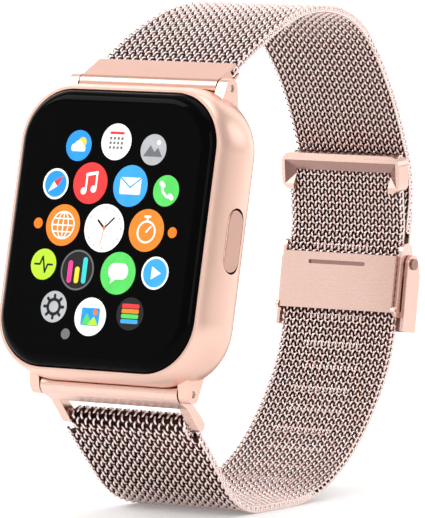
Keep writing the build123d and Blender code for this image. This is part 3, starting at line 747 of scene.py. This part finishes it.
# %% Weave the lower strap
FOLD_HALF = 9.4
CLASP_TRAVEL = sum(length for length, turn in lower_runs[:7]) + 4.5
GROOVE_PITCH = 3.4
grooves = [CLASP_TRAVEL + 5.9] + [CLASP_TRAVEL - 3.6 - GROOVE_PITCH * i for i in range(9)]


def lower_half(travel, y):
    """Half the lower strap's width: narrower beside the frame's arms."""
    return FOLD_HALF if travel < 1.3 else strap_half(y)


fold_line = (fold_start, fold_heading, fold_runs)
lower_line = (lower_start, FRAME_HEADING, lower_runs)
lower_weave = weave(
    "fold_weave", fold_line, 0, fold_length, lambda travel, y: FOLD_HALF, "lower_strap"
)
lower_weave += weave(
    "lower_weave", lower_line, 0, lower_length - 0.1, lower_half, "lower_strap", grooves, 3
)
for piece in lower_weave:
    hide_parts("lower_mesh")
print("groove rows", len(grooves))

# %% [markdown]
# ## The picture on the screen
# Small round signs lie in a honeycomb on black. They could be an image, but an image has one
# resolution and needs a file. Flat shapes cut from the same few strokes stay sharp, and each layer
# lies a hundredth of a millimetre above the last. Their paint glows a little and hardly
# shines, so no light washes it out. All the signs are plain ones: weather, a page, a clock, a note.


# %% A drawing board on the glass
LIFT = 0.012
LAYER = 0.008
DISC_SIDES = 64
RING_SIDES = 60


def spoke(x, z, reach, angle):
    """The point at a distance and an angle in degrees from a centre."""
    turn = math.radians(angle)
    return (x + reach * math.cos(turn), z + reach * math.sin(turn))


class Board:
    """Flat shapes in millimetres on the glass, in layers."""

    def __init__(self):
        self.mesh = bmesh.new()
        self.paints = []

    def shape(self, points, paint, layer):
        """One filled outline."""
        if paint not in self.paints:
            self.paints.append(paint)
        y = GLASS_FRONT - LIFT - LAYER * layer
        corners = [self.mesh.verts.new(place(x, y, z)) for x, z in points]
        face = self.mesh.faces.new(corners)
        face.material_index = self.paints.index(paint)

    def disc(self, x, z, radius, paint, layer):
        """A disc."""
        angles = [360 * i / DISC_SIDES for i in range(DISC_SIDES)]
        self.shape([spoke(x, z, radius, angle) for angle in angles], paint, layer)

    def ring(self, x, z, radius, width, paint, layer):
        """A ring, as short quads."""
        inner, outer = radius - width / 2, radius + width / 2
        for i in range(RING_SIDES):
            a, b = 360 * i / RING_SIDES, 360 * (i + 1) / RING_SIDES
            corners = ((inner, a), (outer, a), (outer, b), (inner, b))
            self.shape([spoke(x, z, reach, angle) for reach, angle in corners], paint, layer)

    def stroke(self, a, b, width, paint, layer):
        """A line with round ends."""
        turn = math.degrees(math.atan2(b[1] - a[1], b[0] - a[0]))
        points = []
        for (x, z), start in ((b, turn - 90), (a, turn + 90)):
            points += [spoke(x, z, width / 2, start + 180 * i / 8) for i in range(9)]
        self.shape(points, paint, layer)

    def line(self, points, width, paint, layer):
        """Strokes joined end to end."""
        for a, b in zip(points, points[1:]):
            self.stroke(a, b, width, paint, layer)

    def tile(self, x, z, w, h, corner, paint, layer):
        """A rounded rectangle."""
        points = []
        for sx, sz, start in ((1, 1, 0), (-1, 1, 90), (-1, -1, 180), (1, -1, 270)):
            u, v = x + sx * (w / 2 - corner), z + sz * (h / 2 - corner)
            points += [spoke(u, v, corner, start + 15 * i) for i in range(7)]
        self.shape(points, paint, layer)


board = Board()


# %% [markdown]
# Each paint drifts between a colour and a slightly deeper one, because a flat colour looks like a
# sticker. The glow uses the same colour, so the sign reads as lit.


# %% Glowing paints
def glow(name, colour, strength=0.5):
    """Paint of a lit sign."""
    material, flow = start_material(name)
    grit = grain(flow, 1.6)
    deep = tuple(c * 0.72 for c in colour)
    tone = blend_colours(flow, rgba(colour), rgba(deep), grit)
    shader = flow.make(
        "BsdfPrincipled",
        {},
        {
            "Base Color": tone,
            "Emission Color": tone,
            "Emission Strength": strength,
            "Roughness": 0.25 + 0.1 * grit,
            "Specular IOR Level": 0.1,
        },
    )
    end_material(flow, shader)
    return material


PAINTS = {
    "sky": (0.03, 0.30, 0.80),
    "blue": (0.05, 0.36, 0.90),
    "white": (0.90, 0.90, 0.90),
    "silver": (0.42, 0.43, 0.45),
    "grey": (0.16, 0.16, 0.17),
    "dark": (0.02, 0.02, 0.02),
    "red": (0.85, 0.05, 0.05),
    "orange": (0.86, 0.20, 0.02),
    "amber": (0.85, 0.23, 0.03),
    "green": (0.10, 0.62, 0.12),
    "lime": (0.45, 0.72, 0.04),
    "teal": (0.05, 0.60, 0.60),
    "pink": (0.85, 0.06, 0.28),
    "yellow": (0.85, 0.65, 0.05),
}
paint = {name: glow("lit_" + name, colour) for name, colour in PAINTS.items()}
print("paints", len(paint))

# %% Signs of the top two rows
SMALL = 2.02
LARGE = 2.7
DOT = 0.7

x, z = -5.5, 10.6
board.disc(x, z, SMALL, paint["sky"], 0)
board.disc(x + 0.55, z + 0.5, 0.62, paint["yellow"], 1)
for dx, dz, r in ((-0.65, -0.25, 0.5), (0.0, 0.0, 0.68), (0.65, -0.3, 0.45)):
    board.disc(x + dx, z + dz, r, paint["white"], 2)
board.tile(x, z - 0.5, 2.2, 0.5, 0.24, paint["white"], 3)

x, z = 0.4, 11.3
board.disc(x, z, 2.38, paint["white"], 0)
board.tile(x, z + 1.15, 2.3, 0.34, 0.15, paint["red"], 1)
for row in range(3):
    for column in range(4):
        board.tile(x - 0.9 + 0.6 * column, z + 0.45 - 0.6 * row, 0.36, 0.36, 0.08, paint["grey"], 1)

x, z = 6.4, 10.5
board.disc(x, z, SMALL, paint["silver"], 0)
hills = [(-1.5, -0.9), (-0.5, 0.6), (0.2, -0.3), (0.7, 0.3), (1.5, -0.9)]
board.shape([(x + u, z + v) for u, v in hills], paint["grey"], 1)
board.disc(x + 0.75, z + 0.95, 0.3, paint["white"], 1)

x, z = -8.4, 5.5
board.disc(x, z, SMALL, paint["white"], 0)
board.disc(x, z, 1.72, paint["sky"], 1)
board.shape([(x + 1.1, z + 1.1), (x + 0.32, z - 0.32), (x - 0.32, z + 0.32)], paint["red"], 2)
board.shape([(x - 1.1, z - 1.1), (x - 0.32, z + 0.32), (x + 0.32, z - 0.32)], paint["white"], 2)

x, z = -2.9, 5.8
board.disc(x, z, LARGE, paint["red"], 0)
board.stroke((x - 0.6, z - 1.0), (x - 0.6, z + 1.1), 0.28, paint["white"], 1)
board.stroke((x + 0.95, z - 0.7), (x + 0.95, z + 1.4), 0.28, paint["white"], 1)
board.line([(x - 0.6, z + 1.1), (x + 0.95, z + 1.4)], 0.42, paint["white"], 2)
board.disc(x - 0.92, z - 1.05, 0.46, paint["white"], 3)
board.disc(x + 0.63, z - 0.75, 0.46, paint["white"], 3)

x, z = 3.5, 5.7
board.disc(x, z, LARGE, paint["blue"], 0)
board.tile(x, z, 3.3, 2.2, 0.25, paint["white"], 1)
board.line([(x - 1.5, z + 0.95), (x, z - 0.2), (x + 1.5, z + 0.95)], 0.2, paint["blue"], 2)

x, z = 9.2, 5.3
board.disc(x, z, SMALL, paint["green"], 0)
handset = [(-0.75, 0.85), (-0.55, -0.1), (0.15, -0.75), (1.0, -0.8)]
board.line([(x + u, z + v) for u, v in handset], 0.36, paint["white"], 1)
board.stroke((x - 0.85, z + 0.95), (x - 0.5, z + 0.65), 0.62, paint["white"], 2)
board.stroke((x + 0.65, z - 0.6), (x + 1.0, z - 0.9), 0.62, paint["white"], 2)

# %% Signs of the middle row
board.disc(-10.4, 0.3, DOT, paint["orange"], 0)
board.disc(11.0, 0.0, DOT, paint["orange"], 0)

x, z = -6.4, 0.2
board.disc(x, z, LARGE, paint["amber"], 0)
board.ring(x, z, 1.75, 0.2, paint["white"], 1)
board.stroke((x, z - 1.7), (x, z + 1.7), 0.18, paint["white"], 2)
board.stroke((x - 1.7, z), (x + 1.7, z), 0.18, paint["white"], 2)
for way in (1, -1):
    turns = [math.radians(30 * t - 90) for t in range(7)]
    meridian = [(x + way * 0.85 * math.cos(t), z + 1.7 * math.sin(t)) for t in turns]
    board.line(meridian, 0.16, paint["white"], 2)
    board.line([(x - 1.5, z + way * 0.85), (x + 1.5, z + way * 0.85)], 0.16, paint["white"], 2)

x, z = 0.2, 0.1
board.disc(x, z, 3.12, paint["white"], 0)
for hour in range(12):
    tick = [spoke(x, z, reach, 30 * hour) for reach in (2.5, 2.75)]
    board.stroke(*tick, 0.16, paint["silver"], 1)
board.stroke((x, z), (x - 1.05, z + 0.95), 0.3, paint["dark"], 2)
board.stroke((x, z), (x + 1.4, z + 1.35), 0.24, paint["dark"], 2)
board.stroke((x + 0.2, z + 0.9), (x - 0.35, z - 2.2), 0.1, paint["orange"], 3)
board.disc(x, z, 0.24, paint["orange"], 4)

x, z = 6.9, 0.1
board.disc(x, z, LARGE + 0.05, paint["amber"], 0)
board.ring(x, z - 0.2, 1.35, 0.26, paint["white"], 1)
board.stroke((x, z - 0.2), (x + 0.65, z + 0.5), 0.24, paint["white"], 2)
board.stroke((x, z + 1.2), (x, z + 1.7), 0.3, paint["white"], 2)
board.stroke((x - 0.4, z + 1.78), (x + 0.4, z + 1.78), 0.28, paint["white"], 2)

# %% Signs of the bottom rows
x, z = -8.7, -5.0
board.disc(x, z, SMALL, paint["lime"], 0)
pulse = [(-1.4, 0), (-0.6, 0), (-0.2, 1.0), (0.3, -1.0), (0.65, 0), (1.4, 0)]
board.line([(x + u, z + v) for u, v in pulse], 0.26, paint["dark"], 1)

x, z = -3.2, -5.5
board.disc(x, z, LARGE, paint["dark"], 0)
for i, (hue, high) in enumerate((("pink", 2.6), ("yellow", 1.7), ("teal", 3.2))):
    at = x - 1.15 + 1.15 * i
    board.stroke((at, z - 1.35), (at, z - 1.35 + high * 0.85), 0.72, paint[hue], 1)
board.ring(x, z, 2.5, 0.18, paint["grey"], 1)

x, z = 3.3, -5.6
board.disc(x, z, LARGE + 0.05, paint["green"], 0)
board.tile(x, z + 0.25, 3.1, 2.1, 0.95, paint["white"], 1)
board.shape([(x - 0.9, z - 0.5), (x - 0.2, z - 0.7), (x - 1.15, z - 1.45)], paint["white"], 2)

x, z = 9.1, -5.3
board.disc(x, z, 2.12, paint["white"], 0)
board.disc(x, z, 1.85, paint["blue"], 1)
board.shape([(x - 0.55, z + 0.85), (x - 0.55, z - 0.85), (x + 0.95, z)], paint["white"], 2)

x, z = -6.2, -10.4
board.disc(x, z, 2.05, paint["silver"], 0)
board.ring(x, z, 0.95, 0.42, paint["dark"], 1)
for tooth in range(8):
    board.stroke(*[spoke(x, z, reach, 45 * tooth) for reach in (1.1, 1.5)], 0.4, paint["dark"], 1)

x, z = -0.2, -11.4
board.disc(x, z, 2.48, paint["white"], 0)
board.tile(x, z, 2.9, 2.3, 0.25, paint["sky"], 1)
board.shape([(x - 1.35, z - 1.05), (x - 0.5, z + 0.5), (x + 0.35, z - 1.05)], paint["green"], 2)
board.shape([(x - 0.3, z - 1.05), (x + 0.6, z + 0.1), (x + 1.35, z - 1.05)], paint["lime"], 3)
board.disc(x + 0.75, z + 0.6, 0.34, paint["orange"], 2)

x, z = 6.0, -10.7
board.disc(x, z, 2.12, paint["dark"], 0)
for i, hue in enumerate(("red", "amber", "green", "blue")):
    board.tile(x, z + 1.0 - 0.66 * i, 2.7, 0.54, 0.18, paint[hue], 1)

board.disc(-3.8, -13.8, DOT, paint["grey"], 0)


# %% Put the picture on the glass
picture_mesh = bpy.data.meshes.new("screen_picture")
board.mesh.to_mesh(picture_mesh)
for colour in board.paints:
    picture_mesh.materials.append(colour)
picture = bpy.data.objects.new("screen_picture", picture_mesh)
bpy.context.scene.collection.objects.link(picture)
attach(picture, "case")
print("picture faces", len(picture_mesh.polygons), "paints", len(board.paints))

# %% [markdown]
# ## Studio
# Polished metal shows the room more than itself, so the room is the real work. The floor sweeps up
# behind the watch without a line. Large soft lights give the long clean highlights, and the world
# is a soft grey that is lighter above, so that metal which faces down turns darker.


# %% Floor and sweep
def sweep(width, near, far, high, radius):
    """A floor that curves up into a wall."""
    bend = [math.radians(7.5 * i) for i in range(1, 13)]
    profile = [(-near, 0), (far - radius, 0)]
    profile += [(far - radius + radius * math.sin(t), radius - radius * math.cos(t)) for t in bend]
    profile.append((far, high))
    mesh = bpy.data.meshes.new("sweep")
    places = [(side * width / 2, y, z) for y, z in profile for side in (-1, 1)]
    faces = [(2 * i, 2 * i + 1, 2 * i + 3, 2 * i + 2) for i in range(len(profile) - 1)]
    mesh.from_pydata(places, [], faces)
    for polygon in mesh.polygons:
        polygon.use_smooth = True
    return bpy.data.objects.new("sweep", mesh)


floor = sweep(14.0, 6.0, 6.2, 7.0, 2.2)
bpy.context.scene.collection.objects.link(floor)
floor.rotation_euler.z = math.atan2(-LOOK.x, LOOK.y)


def paper_finish():
    """Paper with painted light: greyer in front of the watch as painted shade, and glowing more
    further back.
    """
    material, flow = start_material("floor_paper")
    fibre = grain(flow, 1.0)
    ahead = flow.make("SeparateXYZ", {}, {"Vector": flow.make("TexCoord", out=3)}, out=1)
    # painted shade: the paper turns greyer in front of the watch
    near = smooth(flow, ahead, -0.22, 0.0)
    # painted light: the floor glows, dimly near the watch and fully further back
    far = smooth(flow, ahead, 0.05, 0.9)
    paper_with_painted_shade = blend_colours(flow, rgba((0.62, 0.61, 0.60)), rgba((0.90, 0.90, 0.90)), near)
    tone = blend_colours(flow, paper_with_painted_shade, rgba((0.86, 0.86, 0.86)), 0.3 * fibre)
    glow_tone = blend_colours(flow, rgba((0.22, 0.22, 0.22)), rgba((1, 1, 1)), far)
    shader = flow.make(
        "BsdfPrincipled",
        {},
        {
            "Base Color": tone,
            "Roughness": 0.8,
            "Emission Color": glow_tone,
            "Emission Strength": FLOOR_GLOW,
        },
    )
    end_material(flow, shader)
    return material


FLOOR_GLOW = 0.95
floor.data.materials.append(paper_finish())


# %% Lights
def soft_light(name, at, target, size, power, colour=(1, 1, 1)):
    """A square area light aimed at a point."""
    lamp = bpy.data.lights.new(name, "AREA")
    lamp.shape = "RECTANGLE"
    lamp.size, lamp.size_y = size
    lamp.energy = power
    lamp.color = colour
    holder = bpy.data.objects.new(name, lamp)
    aim = (Vector(target) - Vector(at)).normalized()
    holder.location = at
    holder.rotation_euler = aim.to_track_quat("-Z", "Y").to_euler()
    bpy.context.scene.collection.objects.link(holder)
    return holder


MIDDLE = (0.0, 0.0, 0.033)
soft_light("key", (-0.55, -0.45, 0.65), MIDDLE, (0.5, 0.4), 3.2)
soft_light("fill", (0.75, -0.35, 0.35), MIDDLE, (0.3, 0.6), 1.6)
soft_light("top", (0.1, 0.15, 0.9), MIDDLE, (0.8, 0.6), 2.2)
soft_light("side", (0.62, 0.86, 0.40), MIDDLE, (0.5, 0.5), 1.0)
soft_light("card", (-0.62, -0.85, 0.20), MIDDLE, (0.7, 0.5), 0.55)

world = bpy.data.worlds.new("room")
world.use_nodes = True
world.node_tree.nodes.clear()
sky = Flow(world.node_tree)
direction = sky.make("TexCoord", out=0)
height = sky.make("SeparateXYZ", {}, {"Vector": direction}, out=2)
SKY = [(0.0, (0.16, 0.155, 0.15)), (0.5, (0.60, 0.59, 0.58)), (1.0, (0.70, 0.70, 0.70))]
tone = sky.make("ValToRGB", {"stops": SKY}, {"Fac": 0.5 + 0.5 * height})
background = sky.make("Background", {}, {"Color": tone, "Strength": 0.9})
world_output = world.node_tree.nodes.new("ShaderNodeOutputWorld")
world.node_tree.links.new(background.socket, world_output.inputs["Surface"])
bpy.context.scene.world = world
bpy.context.scene.view_settings.view_transform = "Standard"
